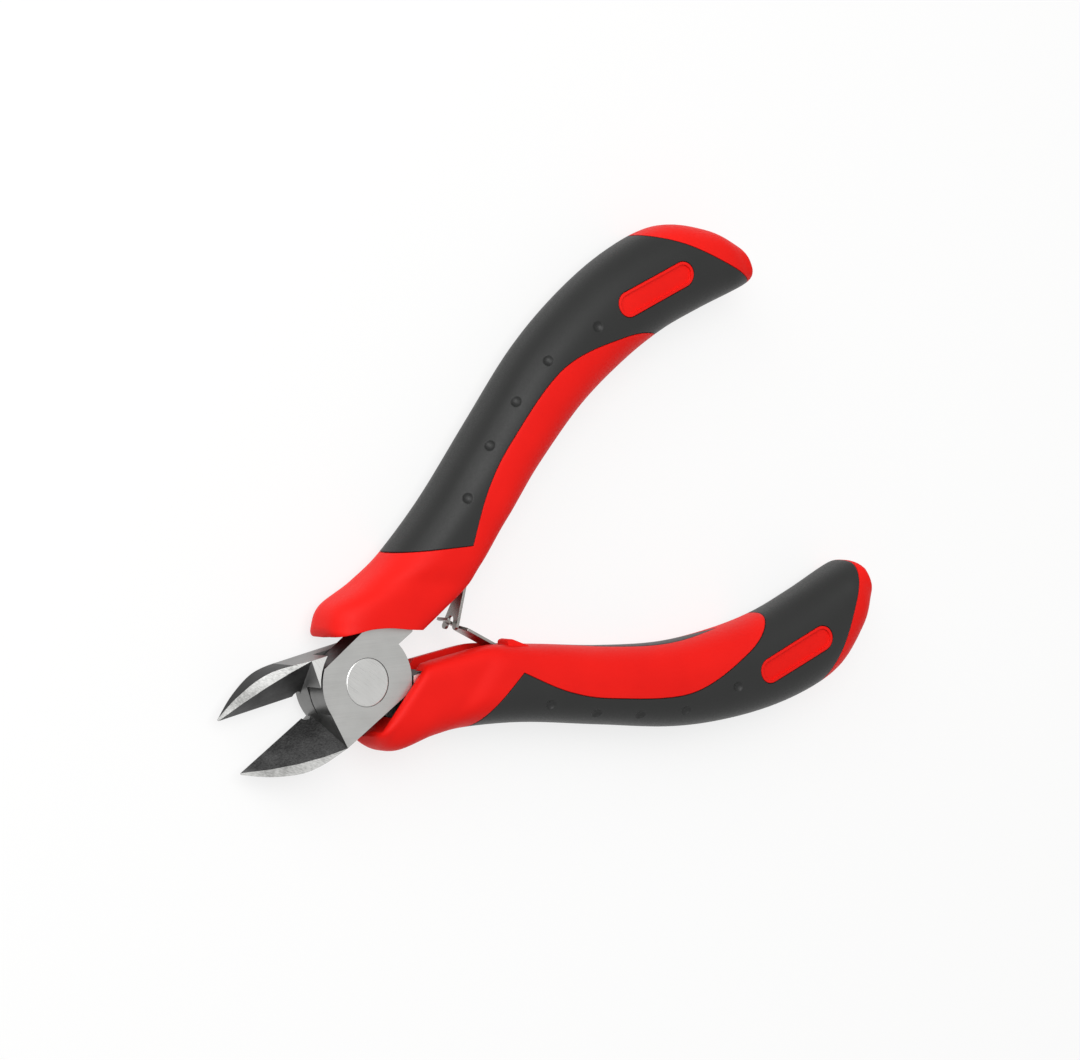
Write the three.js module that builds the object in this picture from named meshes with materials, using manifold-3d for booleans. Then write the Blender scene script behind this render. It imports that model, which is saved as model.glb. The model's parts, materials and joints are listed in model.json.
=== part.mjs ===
// Mini side cutters with a lap joint, two-component grips and a double leaf return spring.
// Millimetres. The tool lies flat: +X runs from the jaws to the handles and +Z is the pivot axis.
// Each half is drawn closed, with the cutting edges on the X axis and the pivot at the origin.
// Shapes are drawn for the front half, whose handle is on the +Y side. For the other half the lever
// is mirrored, and the grip is the same moulding turned over.
import * as THREE from 'three';
import { mergeVertices } from 'three/addons/utils/BufferGeometryUtils.js';
import Module from 'manifold-3d';

const wasm = await Module();
wasm.setup();

// Opening of the tool at rest, in degrees between the two halves
const OPENING = 22.4;

// Head: two lapped plates on one rivet
const HEAD_THICKNESS = 8;
const JOINT_RADIUS = 7.5;
const BACK_FLAT_DEPTH = 1.95;
const PLATE_FLAT_START = 127;
const PLATE_FLAT_END = 58;
const JOINT_CLEARANCE = 0.3;
const LAP_GAP = 0.3;
const RIVET_HEAD_RADIUS = 3.5;
const RIVET_SHANK_RADIUS = 2.4;
const RIVET_SINK_DEPTH = 1.2;
const RIVET_CLEARANCE = 0.08;

// Jaws: a cutting edge near the rear face, a deep front bevel and a ground slope to the tip
const JAW_LENGTH = 13.2;
const HEEL_WIDTH = 0.7;
const EDGE_HEIGHT = 1.2;
const EDGE_GAP = 0.05;
const EDGE_LAND_WIDTH = 0.8;
const JAW_TIP_WIDTH = 0.35;
const SLOPE_CROWN = 0.7;
const BACK_CHAMFER_HEIGHT = 1.2;
const BACK_CHAMFER_WIDTH = 1;
const THROAT_RADIUS = 0.65;

// Tang: the handle end of each lever, buried in its grip
const TANG_THICKNESS = 6.4;
const TANG_STEP_X = 12;
const TANG_NOTCH_Y = 1.2;
const TANG_LENGTH = 51;
const TANG_END_Y = 15.2;
const TANG_END_RADIUS = 1.8;
const TANG_CLEARANCE = 0.25;

// Grip: hard core with a soft cover on its back and a soft inlay along its inner side
const GRIP_THICKNESS = 12.2;
const COLLAR_POWER = 3.2;
const COLLAR_INNER_POWER = 5.5;
const GRIP_POWER = 2.5;
const TAIL_TAPER = [0.97, 0.85, 0.62];
const MOUTH_WALL = 1.3;
const MOUTH_LIP = 0.9;
const MOUTH_SETBACK = 2.3;
const SCALLOP_RADIUS = 7.4;
const MOUTH_CLEARANCE = 0.3;
const STEP_CLEARANCE = 0.8;
const COVER_THICKNESS = 1.2;
const PARTING_GAP = 0.25;
const BUMP_HEIGHT = 0.8;
const BUMP_WIDTH = 3;
const BUMP_LENGTH = 4.6;
const BUMP_CREST = 0.8;
const PILL_RADIUS = 1.9;
const PILL_RIM = 0.45;
const PILL_RECESS = 0.35;
const DIMPLE_RADIUS = 1;
const DIMPLE_DEPTH = 0.5;
const INLAY_START_X = 34;
const INLAY_END_X = 64;
const INLAY_WIDTH = 4.4;
const INLAY_THICKNESS = 1;

// Return spring: two leaves hinged on pins in the grips and hooked together at their tips
const LEAF_ROOT_X = 26.6;
const LEAF_ROOT_DEPTH = 1.8;
const LEAF_SLOPE = 51.8;
const LEAF_WIDTH = 4;
const LEAF_THICKNESS = 0.45;
const LEAF_CLEARANCE = 0.3;
const CHANNEL_MOUTH_Y = 2.2;
const PRONG_REACH = 0.9;
const FORK_SLOT_WIDTH = 1.6;
const HOOK_LENGTH = 1.15;
const TONGUE_WIDTH = 1;
const CROSSBAR_WIDTH = 3;
const CROSSBAR_LENGTH = 0.5;
const PIN_RADIUS = 0.6;
const PIN_SEAT = 1.2;
const PIN_CLEARANCE = 0.1;

// Fineness of the round shapes
const ROUND_SEGMENTS = 40;
const SMALL_SEGMENTS = 12;
const SMALL_RADIUS = 2;
const CURVE_SEGMENTS = 4;
const RING_POINTS = 20;
const STEPS_PER_STATION = 2;

// Sizes that follow from the ones above; REACH is past everything
const REACH = 200;
const HEAD_HALF = HEAD_THICKNESS / 2;
const HEAD_HALF_WIDTH = JOINT_RADIUS - BACK_FLAT_DEPTH;
const HALF_OPENING = THREE.MathUtils.degToRad(OPENING / 2);
const HEEL_X = -(JOINT_RADIUS + HEEL_WIDTH);
const TIP_X = HEEL_X - JAW_LENGTH;
const EDGE_Z = EDGE_HEIGHT - HEAD_HALF;
const SWEEP_RADIUS = JOINT_RADIUS + JOINT_CLEARANCE;
const CHANNEL_HALF = LEAF_WIDTH / 2 + LEAF_CLEARANCE;
const EYE_RADIUS = PIN_RADIUS + PIN_CLEARANCE + LEAF_THICKNESS;
const COLLAR_HALF = HEAD_HALF + MOUTH_CLEARANCE + MOUTH_WALL;
const GRIP_HALF = GRIP_THICKNESS / 2;

// Cross sections of the grip, as half thickness and the powers of the oval's outer and inner side
const MOUTH = { half: COLLAR_HALF - MOUTH_LIP, power: COLLAR_POWER, innerPower: COLLAR_INNER_POWER };
const COLLAR = { ...MOUTH, half: COLLAR_HALF };
const HANDLE = { half: GRIP_HALF, power: GRIP_POWER, innerPower: GRIP_POWER };
const [TAIL_START, TAIL_MIDDLE, TAIL_END] = TAIL_TAPER.map((share) => ({ ...HANDLE, half: share * GRIP_HALF }));

// Grip outline as matching points on its outer and inner edge, with the cross section there
const GRIP_STATIONS = [
  { outer: [-0.2, 8.2], inner: [10.2, 0.15], ...MOUTH },
  { outer: [0.35, 9.9], inner: [12.2, 0.15], ...COLLAR },
  { outer: [3.1, 11.4], inner: [16.5, 0.3], ...COLLAR },
  { outer: [9.2, 11.0], inner: [21.5, 0.6], ...COLLAR },
  { outer: [15.5, 11.5], inner: [25.5, 1.6], ...HANDLE },
  { outer: [26.0, 13.8], inner: [33.0, 3.8], ...HANDLE },
  { outer: [39.0, 18.0], inner: [43.0, 6.8], ...HANDLE },
  { outer: [52.0, 22.1], inner: [54.0, 9.3], ...HANDLE },
  { outer: [63.5, 23.9], inner: [64.0, 10.0], ...HANDLE },
  { outer: [74.0, 23.9], inner: [72.5, 9.6], ...HANDLE },
  { outer: [82.6, 22.0], inner: [80.0, 8.2], ...HANDLE },
  { outer: [88.2, 17.4], inner: [86.0, 6.8], ...TAIL_START },
  { outer: [90.9, 13.0], inner: [89.3, 6.2], ...TAIL_MIDDLE },
  { outer: [91.8, 10.0], inner: [91.0, 7.0], ...TAIL_END },
];

// Soft cover: front edge across the collar, wave along the core and edge of the end cap
const COVER_FRONT = [[6, 17.3], [25, 5.6]];
const COVER_WAVE = [[31.9, 10.5], [39.7, 13.8], [53.1, 16.9], [64.4, 14.2], [70.7, 10.5], [75, 5]];
const COVER_END = [[90.4, 2], [88.7, 8], [83, 17.6], [78.2, 23.4], [74, 28]];
const PILL_CENTRES = [[68.2, 17.7], [78.7, 15.6]];
const DIMPLE_CENTRES = [[61.6, 18.4], [51.9, 19.3], [44, 17.7], [36.5, 15.3], [28.6, 11.6]];

// Tang edges, from the joint to the buried end
const FLAT_END = THREE.MathUtils.degToRad(PLATE_FLAT_END);
const TANG_START = [JOINT_RADIUS * Math.cos(FLAT_END), JOINT_RADIUS * Math.sin(FLAT_END)];
const TANG_OUTER = [[6.5, JOINT_RADIUS + 1.1], [12, 9.2], [20, 10.2], [28, 11.4], [40, 14.6]];
const TANG_INNER = [[JOINT_RADIUS + 2.8, TANG_NOTCH_Y], [12.8, 2.9], [24, 5.9], [28, 6.6], [40, 10]];

// Back of the jaw, as shares of its length and of the half width of the head
const JAW_BACK = [[0.33, 0.99], [0.55, 0.86], [0.8, 0.5]];

const MATERIALS = {
  ground: new THREE.MeshStandardMaterial({ color: '#b4b4b3', roughness: 0.34, metalness: 1 }),
  rivet: new THREE.MeshStandardMaterial({ color: '#c6c6c5', roughness: 0.3, metalness: 1 }),
  spring: new THREE.MeshStandardMaterial({ color: '#8f8d8b', roughness: 0.3, metalness: 1 }),
  red: new THREE.MeshStandardMaterial({ color: '#e3241d', roughness: 0.42, metalness: 0 }),
  black: new THREE.MeshStandardMaterial({ color: '#3a3b3a', roughness: 0.72, metalness: 0 }),
};

// Joining and cutting
function toSolid(geometry) {
  const bare = geometry.clone();
  bare.deleteAttribute('normal');
  bare.deleteAttribute('uv');
  const merged = mergeVertices(bare);
  const vertProperties = new Float32Array(merged.attributes.position.array);
  const triVerts = new Uint32Array(merged.index.array);
  return new wasm.Manifold(new wasm.Mesh({ numProp: 3, vertProperties, triVerts }));
}

function toGeometry(solid) {
  const mesh = solid.getMesh();
  const geometry = new THREE.BufferGeometry();
  geometry.setAttribute('position', new THREE.BufferAttribute(mesh.vertProperties, 3));
  geometry.setIndex(new THREE.BufferAttribute(mesh.triVerts, 1));
  return geometry;
}

// The same shape on the other side of the XZ plane, with its faces turned out again
function mirrored(geometry) {
  const copy = geometry.clone().scale(1, -1, 1);
  const corners = copy.index.array;
  for (let i = 0; i < corners.length; i += 3) {
    [corners[i], corners[i + 1]] = [corners[i + 1], corners[i]];
  }
  return copy;
}

// Plain building blocks
function points(list) {
  return list.map(([x, y]) => new THREE.Vector2(x, y));
}

function extruded(shape, low, high) {
  const options = { depth: high - low, bevelEnabled: false, curveSegments: CURVE_SEGMENTS };
  return new THREE.ExtrudeGeometry(shape, options).translate(0, 0, low);
}

function prism(shape, low, high) {
  return toSolid(extruded(shape, low, high));
}

function round(radius, low, high, x = 0, y = 0) {
  const segments = radius < SMALL_RADIUS ? SMALL_SEGMENTS : ROUND_SEGMENTS;
  const cylinder = new THREE.CylinderGeometry(radius, radius, high - low, segments);
  return toSolid(cylinder.rotateX(Math.PI / 2).translate(x, y, (low + high) / 2));
}

function block(lowX, highX, lowY, highY, lowZ, highZ) {
  const box = new THREE.BoxGeometry(highX - lowX, highY - lowY, highZ - lowZ);
  return toSolid(box.translate((lowX + highX) / 2, (lowY + highY) / 2, (lowZ + highZ) / 2));
}

// Everything on the far side of a plane, the way its normal points
function beyond(point, normal) {
  const turn = new THREE.Quaternion();
  turn.setFromUnitVectors(new THREE.Vector3(0, 0, 1), normal.clone().normalize());
  const box = new THREE.BoxGeometry(REACH, REACH, REACH).translate(0, 0, REACH / 2);
  return toSolid(box.applyQuaternion(turn).translate(point.x, point.y, point.z));
}

function capsule(centres, radius) {
  const [a, b] = points(centres);
  const turn = Math.atan2(b.y - a.y, b.x - a.x);
  const shape = new THREE.Shape();
  shape.absarc(b.x, b.y, radius, turn - Math.PI / 2, turn + Math.PI / 2);
  shape.absarc(a.x, a.y, radius, turn + Math.PI / 2, turn + Math.PI * 1.5);
  shape.closePath();
  return shape;
}

// Steel levers
function jawBack() {
  const back = JAW_BACK.map(([along, across]) => [HEEL_X - along * JAW_LENGTH, -across * HEAD_HALF_WIDTH]);
  return points([...back, [TIP_X, -EDGE_GAP - JAW_TIP_WIDTH]]);
}

function leverShape() {
  const notchTurn = Math.asin(TANG_NOTCH_Y / JOINT_RADIUS);
  const backTurn = Math.asin(HEAD_HALF_WIDTH / JOINT_RADIUS);
  const flatStart = THREE.MathUtils.degToRad(PLATE_FLAT_START);
  const tangEndX = TANG_LENGTH - TANG_END_RADIUS;
  const shape = new THREE.Shape();
  shape.moveTo(TIP_X, -EDGE_GAP);
  shape.lineTo(-JOINT_RADIUS, -EDGE_GAP);
  shape.absarc(0, 0, JOINT_RADIUS, Math.PI, flatStart, true);
  shape.lineTo(...TANG_START);
  shape.splineThru(points(TANG_OUTER));
  shape.absarc(tangEndX, TANG_END_Y, TANG_END_RADIUS, Math.PI / 2, -Math.PI / 2, true);
  shape.splineThru(points(TANG_INNER).reverse());
  shape.absarc(0, 0, JOINT_RADIUS, notchTurn, -backTurn, true);
  shape.lineTo(HEEL_X, -HEAD_HALF_WIDTH);
  shape.splineThru(jawBack());
  shape.closePath();
  return shape;
}

// Everything inside the back of the head and jaw, with a chamfer along the rear face
function backEnvelope() {
  const shape = new THREE.Shape();
  shape.moveTo(REACH, -HEAD_HALF_WIDTH);
  shape.lineTo(HEEL_X, -HEAD_HALF_WIDTH);
  shape.splineThru(jawBack());
  shape.lineTo(TIP_X, REACH);
  shape.lineTo(REACH, REACH);
  shape.closePath();
  const lean = BACK_CHAMFER_WIDTH / BACK_CHAMFER_HEIGHT;
  const shear = new THREE.Matrix4().makeShear(0, 0, 0, 0, 0, -lean);
  const upright = extruded(shape, -HEAD_THICKNESS, HEAD_THICKNESS);
  return toSolid(upright.applyMatrix4(shear).translate(0, lean * (BACK_CHAMFER_HEIGHT - HEAD_HALF), 0));
}

// Side view of what is ground off in front of the jaw, along a slope that is crowned to the tip
function slopeShape() {
  const crownX = (HEEL_X + TIP_X) / 2;
  const crownZ = (HEAD_HALF + EDGE_Z) / 2 + 2 * SLOPE_CROWN;
  const shape = new THREE.Shape();
  shape.moveTo(HEEL_X, HEAD_HALF);
  shape.lineTo(HEEL_X, HEAD_THICKNESS);
  shape.lineTo(TIP_X - JAW_TIP_WIDTH, HEAD_THICKNESS);
  shape.lineTo(TIP_X - JAW_TIP_WIDTH, EDGE_Z);
  shape.lineTo(TIP_X, EDGE_Z);
  shape.quadraticCurveTo(crownX, crownZ, HEEL_X, HEAD_HALF);
  return shape;
}

// What is ground off the jaw: the cutting bevel, the slope to the tip and the land behind the edge
function jawCuts() {
  const heelWall = new THREE.Shape(points([
    [-JOINT_RADIUS, REACH],
    [-JOINT_RADIUS, 0],
    [HEEL_X, -HEAD_HALF_WIDTH],
    [HEEL_X, -REACH],
    [-REACH, -REACH],
    [-REACH, REACH],
  ]));
  const front = prism(heelWall, -REACH, REACH);
  const bevelRise = (HEAD_HALF - EDGE_Z) / (HEAD_HALF_WIDTH - EDGE_GAP);
  const landRise = EDGE_HEIGHT / EDGE_LAND_WIDTH;
  const edge = new THREE.Vector3(0, -EDGE_GAP, EDGE_Z);
  const bevel = beyond(edge, new THREE.Vector3(0, bevelRise, 1));
  const slope = toSolid(extruded(slopeShape(), -REACH, REACH).rotateX(Math.PI / 2));
  const land = beyond(edge, new THREE.Vector3(0, landRise, -1));
  const throat = round(THROAT_RADIUS, -REACH, REACH, HEEL_X, 0);
  return bevel.add(slope).add(land).intersect(front).add(throat);
}

function rivet(grow) {
  const head = RIVET_HEAD_RADIUS + grow;
  const shank = RIVET_SHANK_RADIUS + grow;
  const sink = HEAD_HALF - RIVET_SINK_DEPTH;
  const lower = [[0, -HEAD_HALF], [head, -HEAD_HALF], [shank, -sink]];
  const upper = lower.map(([x, z]) => [x, -z]).reverse();
  return toSolid(new THREE.LatheGeometry(points([...lower, ...upper]), ROUND_SEGMENTS).rotateX(Math.PI / 2));
}

// Countersunk hole, open past both faces of the head
function rivetHole() {
  const radius = RIVET_HEAD_RADIUS + RIVET_CLEARANCE;
  const front = round(radius, HEAD_HALF, REACH);
  const rear = round(radius, -REACH, -HEAD_HALF);
  return rivet(RIVET_CLEARANCE).add(front).add(rear);
}

// side is 1 for the lever whose plate is in front and -1 for the one whose plate is behind
function lever(side) {
  const lapFace = (side * LAP_GAP) / 2;
  const sweep = side > 0 ? round(SWEEP_RADIUS, -REACH, lapFace) : round(SWEEP_RADIUS, lapFace, REACH);
  const tangHalf = TANG_THICKNESS / 2;
  const tangTop = block(TANG_STEP_X, REACH, -REACH, REACH, tangHalf, REACH);
  const tangBottom = block(TANG_STEP_X, REACH, -REACH, REACH, -REACH, -tangHalf);
  const removed = sweep.add(jawCuts()).add(tangTop).add(tangBottom).add(rivetHole());
  const blank = prism(leverShape(), -HEAD_HALF, HEAD_HALF).intersect(backEnvelope());
  return toGeometry(blank.subtract(removed));
}

// Height of the grip's inner edge over the middle line
function innerEdgeAt(x) {
  const next = GRIP_STATIONS.findIndex((station) => station.inner[0] > x);
  const [beforeX, beforeY] = GRIP_STATIONS[next - 1].inner;
  const [afterX, afterY] = GRIP_STATIONS[next].inner;
  return THREE.MathUtils.mapLinear(x, beforeX, afterX, beforeY, afterY);
}

// A station's value, or the value on the straight line between two stations
function betweenStations(place, key) {
  const before = GRIP_STATIONS[Math.floor(place)];
  const after = GRIP_STATIONS[Math.ceil(place)];
  return THREE.MathUtils.lerp(before[key], after[key], place % 1);
}

// Grip sections: rounded ovals between the two edges, set in from the surface by a skin
function gripSections(inset) {
  const outer = new THREE.SplineCurve(points(GRIP_STATIONS.map((s) => s.outer)));
  const inner = new THREE.SplineCurve(points(GRIP_STATIONS.map((s) => s.inner)));
  const count = (GRIP_STATIONS.length - 1) * STEPS_PER_STATION;
  return Array.from({ length: count + 1 }, (_, i) => {
    const outside = outer.getPoint(i / count);
    const inside = inner.getPoint(i / count);
    const across = outside.clone().sub(inside).multiplyScalar(0.5);
    return {
      centre: outside.clone().add(inside).multiplyScalar(0.5),
      across: across.setLength(across.length() - inset),
      half: betweenStations(i / STEPS_PER_STATION, 'half') - inset,
      power: betweenStations(i / STEPS_PER_STATION, 'power'),
      innerPower: betweenStations(i / STEPS_PER_STATION, 'innerPower'),
    };
  });
}

// A coordinate of the oval of half size 1, on a ring whose flats touch the outline
function oval(value, power) {
  const flat = Math.cos(Math.PI / RING_POINTS);
  return Math.sign(value) * Math.abs(value / flat) ** (2 / power);
}

function loft(sections) {
  const positions = [];
  const corners = [];
  for (const { centre, across, half, power, innerPower } of sections) {
    for (let k = 0; k < RING_POINTS; k += 1) {
      const turn = ((k + 0.5) / RING_POINTS) * 2 * Math.PI;
      const sidePower = Math.cos(turn) > 0 ? power : innerPower;
      const reach = oval(Math.cos(turn), sidePower);
      const height = half * oval(Math.sin(turn), sidePower);
      positions.push(centre.x + across.x * reach, centre.y + across.y * reach, height);
    }
  }
  for (let i = 0; i + 1 < sections.length; i += 1) {
    for (let k = 0; k < RING_POINTS; k += 1) {
      const a = i * RING_POINTS + k;
      const b = i * RING_POINTS + ((k + 1) % RING_POINTS);
      corners.push(a, b, a + RING_POINTS, b, b + RING_POINTS, a + RING_POINTS);
    }
  }
  const last = (sections.length - 1) * RING_POINTS;
  for (let k = 1; k + 1 < RING_POINTS; k += 1) {
    corners.push(0, k + 1, k, last, last + k, last + k + 1);
  }
  const geometry = new THREE.BufferGeometry();
  geometry.setAttribute('position', new THREE.Float32BufferAttribute(positions, 3));
  geometry.setIndex(corners);
  return toSolid(geometry);
}

function gripBody(inset) {
  return loft(gripSections(inset));
}

// Region of the soft cover, seen along the pivot axis and drawn in by a gap on all its edges
function coverShape(gap) {
  const shape = new THREE.Shape();
  const shift = ([x, y]) => [x + gap, y + gap];
  shape.moveTo(...shift(COVER_FRONT[0]));
  shape.lineTo(...shift(COVER_FRONT[1]));
  shape.splineThru(points(COVER_WAVE.map(([x, y]) => [x, y + gap])));
  shape.lineTo(COVER_END[0][0] - gap, COVER_END[0][1]);
  shape.splineThru(points(COVER_END.slice(1).map(([x, y]) => [x - gap, y])));
  shape.closePath();
  return shape;
}

function dimples() {
  const pits = DIMPLE_CENTRES.map(([x, y]) => round(DIMPLE_RADIUS, -REACH, REACH, x, y));
  return pits.reduce((all, pit) => all.add(pit));
}

// Lens along the middle of the inner side
function inlayPocket(gap) {
  const halfWidth = INLAY_WIDTH / 2 + gap;
  const middle = (INLAY_START_X + INLAY_END_X) / 2;
  const lens = new THREE.Shape();
  lens.moveTo(INLAY_START_X - gap, 0);
  lens.quadraticCurveTo(middle, 2 * halfWidth, INLAY_END_X + gap, 0);
  lens.quadraticCurveTo(middle, -2 * halfWidth, INLAY_START_X - gap, 0);
  const highest = Math.max(...GRIP_STATIONS.map((station) => station.inner[1]));
  const past = highest + 2 * INLAY_THICKNESS;
  const cutter = toSolid(extruded(lens, -past, 0).rotateX(Math.PI / 2));
  return cutter.subtract(gripBody(INLAY_THICKNESS + gap));
}

function pill() {
  const rim = prism(capsule(PILL_CENTRES, PILL_RADIUS), -REACH, REACH);
  const field = prism(capsule(PILL_CENTRES, PILL_RADIUS - PILL_RIM), -REACH, REACH);
  return gripBody(0).intersect(rim).subtract(field.subtract(gripBody(PILL_RECESS)));
}

function gripCover() {
  const opening = prism(capsule(PILL_CENTRES, PILL_RADIUS + PARTING_GAP), -REACH, REACH);
  const skin = gripBody(0).subtract(gripBody(COVER_THICKNESS));
  const region = prism(coverShape(PARTING_GAP), -REACH, REACH);
  const pressed = dimples().subtract(gripBody(DIMPLE_DEPTH));
  return toGeometry(skin.intersect(region).subtract(opening).subtract(pressed));
}

function gripInlay() {
  return toGeometry(gripBody(0).intersect(inlayPocket(0)));
}

// Root of a leaf on its pin, seen with the grip turned away from the middle line
function leafRoot(halfOpening) {
  const root = new THREE.Vector2(LEAF_ROOT_X, innerEdgeAt(LEAF_ROOT_X) + LEAF_ROOT_DEPTH);
  return root.rotateAround(new THREE.Vector2(), halfOpening);
}

// From the pin to the crossing of the leaves on the middle line, with the tool at rest
function leafLength() {
  return leafRoot(HALF_OPENING).y / Math.sin(THREE.MathUtils.degToRad(LEAF_SLOPE));
}

// Where a leaf points, seen from its grip
function leafTurn(halfOpening) {
  return Math.PI + Math.asin(leafRoot(halfOpening).y / leafLength()) - halfOpening;
}

// Slot in the inner side of the core that the leaf folds into
function leafChannel() {
  const room = LEAF_THICKNESS / 2 + LEAF_CLEARANCE;
  const root = leafRoot(0);
  const along = (turn) => new THREE.Vector2(Math.cos(turn), Math.sin(turn));
  const closed = along(leafTurn(0));
  const open = along(leafTurn(HALF_OPENING));
  const above = new THREE.Vector2(closed.y, -closed.x).multiplyScalar(room).add(root);
  const below = new THREE.Vector2(-open.y, open.x).multiplyScalar(room).add(root);
  const mouth = new THREE.Vector2(0, CHANNEL_MOUTH_Y);
  const under = new THREE.Vector2(0, -leafLength());
  const exit = open.clone().multiplyScalar(leafLength()).add(below);
  const wedge = prism(new THREE.Shape([above, mouth, under, exit, below]), -CHANNEL_HALF, CHANNEL_HALF);
  const eye = round(EYE_RADIUS + LEAF_CLEARANCE, -CHANNEL_HALF, CHANNEL_HALF, root.x, root.y);
  const seat = CHANNEL_HALF + PIN_SEAT + PIN_CLEARANCE;
  return wedge.add(eye).add(round(PIN_RADIUS + PIN_CLEARANCE, -seat, seat, root.x, root.y));
}

// What the mouth of the sleeve stands back by in front, over the half's own plate
function mouthSetback() {
  const [outerX, outerY] = GRIP_STATIONS[0].outer;
  const innerY = GRIP_STATIONS[0].inner[1];
  const setbackX = GRIP_STATIONS[0].inner[0] + MOUTH_SETBACK;
  const corners = [[outerX, outerY], [setbackX, innerY], [setbackX, -JOINT_RADIUS], [outerX, -JOINT_RADIUS]];
  return prism(new THREE.Shape(points(corners)), 0, REACH).add(round(SCALLOP_RADIUS, 0, REACH));
}

// Room for the tang, and for both plates where they turn inside the mouth of the sleeve
function tangCavity() {
  const tangHalf = TANG_THICKNESS / 2 + TANG_CLEARANCE;
  const plateHalf = HEAD_HALF + MOUTH_CLEARANCE;
  const outer = [TANG_START, ...TANG_OUTER].map(([x, y]) => [x, y + TANG_CLEARANCE]);
  const inner = TANG_INNER.map(([x, y]) => [x, y - TANG_CLEARANCE]);
  const tang = new THREE.Shape();
  const endRadius = TANG_END_RADIUS + TANG_CLEARANCE;
  tang.moveTo(0, TANG_NOTCH_Y - TANG_CLEARANCE);
  tang.lineTo(0, outer[0][1]);
  tang.lineTo(...outer[0]);
  tang.splineThru(points(outer.slice(1)));
  tang.absarc(TANG_LENGTH - TANG_END_RADIUS, TANG_END_Y, endRadius, Math.PI / 2, -Math.PI / 2, true);
  tang.splineThru(points(inner).reverse());
  tang.closePath();
  const room = prism(tang, -tangHalf, tangHalf);
  const mouth = block(-REACH, TANG_STEP_X + STEP_CLEARANCE, -REACH, REACH, -REACH, REACH);
  const plates = prism(tang, -plateHalf, plateHalf).intersect(mouth);
  const sweep = round(SWEEP_RADIUS + MOUTH_CLEARANCE, -plateHalf, plateHalf);
  return room.add(plates).add(sweep).add(mouthSetback());
}

// Ramp that stands up behind the root of the leaf
function bump() {
  const root = leafRoot(0);
  const crest = innerEdgeAt(root.x) - BUMP_HEIGHT;
  const ramp = new THREE.Shape(points([
    [root.x - BUMP_CREST, root.y],
    [root.x - BUMP_CREST / 2, crest],
    [root.x + BUMP_CREST / 2, crest],
    [root.x + BUMP_LENGTH, root.y],
  ]));
  return prism(ramp, -BUMP_WIDTH / 2, BUMP_WIDTH / 2);
}

function gripCore() {
  const bare = gripBody(0).subtract(prism(coverShape(0), -REACH, REACH));
  const body = bare.add(gripBody(COVER_THICKNESS + PARTING_GAP)).add(pill()).add(bump());
  return toGeometry(body.subtract(inlayPocket(PARTING_GAP)).subtract(leafChannel()).subtract(tangCavity()));
}

// Spring leaves: flat blanks with a rolled eye, lying along +X from the eye
function forkBlank() {
  const half = LEAF_WIDTH / 2;
  const slot = FORK_SLOT_WIDTH / 2;
  const prong = (half - slot) / 2;
  const end = leafLength() + PRONG_REACH - prong;
  const shape = new THREE.Shape();
  shape.moveTo(EYE_RADIUS - LEAF_THICKNESS / 2, -half);
  shape.absarc(end, -half + prong, prong, -Math.PI / 2, Math.PI / 2);
  shape.absarc(leafLength() - HOOK_LENGTH + slot, 0, slot, -Math.PI / 2, Math.PI / 2, true);
  shape.absarc(end, half - prong, prong, -Math.PI / 2, Math.PI / 2);
  shape.lineTo(EYE_RADIUS - LEAF_THICKNESS / 2, half);
  shape.closePath();
  return shape;
}

function tongueBlank() {
  const half = LEAF_WIDTH / 2;
  const neck = TONGUE_WIDTH / 2;
  const bar = CROSSBAR_WIDTH / 2;
  const shoulder = leafLength() - HOOK_LENGTH;
  const hook = leafLength() + HOOK_LENGTH;
  const tip = hook + CROSSBAR_LENGTH;
  const side = [
    [EYE_RADIUS - LEAF_THICKNESS / 2, half],
    [shoulder - (half - neck) / 2, half],
    [shoulder, neck],
    [hook, neck],
    [hook, bar],
    [tip, bar],
  ];
  const otherSide = side.map(([x, y]) => [x, -y]).reverse();
  return new THREE.Shape(points([...side, ...otherSide]));
}

function leaf(blank) {
  const half = LEAF_WIDTH / 2;
  const strip = extruded(blank, -LEAF_THICKNESS / 2, LEAF_THICKNESS / 2).rotateX(Math.PI / 2);
  const bore = round(PIN_RADIUS + PIN_CLEARANCE, -REACH, REACH);
  return toGeometry(toSolid(strip).add(round(EYE_RADIUS, -half, half)).subtract(bore));
}

function springPin() {
  const half = CHANNEL_HALF + PIN_SEAT;
  return toGeometry(round(PIN_RADIUS, -half, half, ...leafRoot(0)));
}

// Assembly
function piece(name, geometry, material) {
  const mesh = new THREE.Mesh(geometry, material);
  mesh.name = name;
  return mesh;
}

// A half of the tool, opened by half the opening; place is the half's side of the tool
function half(side, place, leverPiece, leafPiece, extra) {
  const turned = (geometry) => (side > 0 ? geometry : geometry.rotateX(Math.PI));
  const group = new THREE.Group();
  group.rotation.z = side * HALF_OPENING;
  leafPiece.position.set(leafRoot(0).x, side * leafRoot(0).y, 0);
  leafPiece.rotation.z = side * leafTurn(HALF_OPENING);
  group.add(
    leverPiece,
    piece(`${place}_grip_core`, turned(gripCore()), MATERIALS.red),
    piece(`${place}_grip_cover`, turned(gripCover()), MATERIALS.black),
    piece(`${place}_grip_inlay`, turned(gripInlay()), MATERIALS.black),
    piece(`${place}_spring_pin`, turned(springPin()), MATERIALS.spring),
    leafPiece,
    ...extra
  );
  return group;
}

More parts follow.
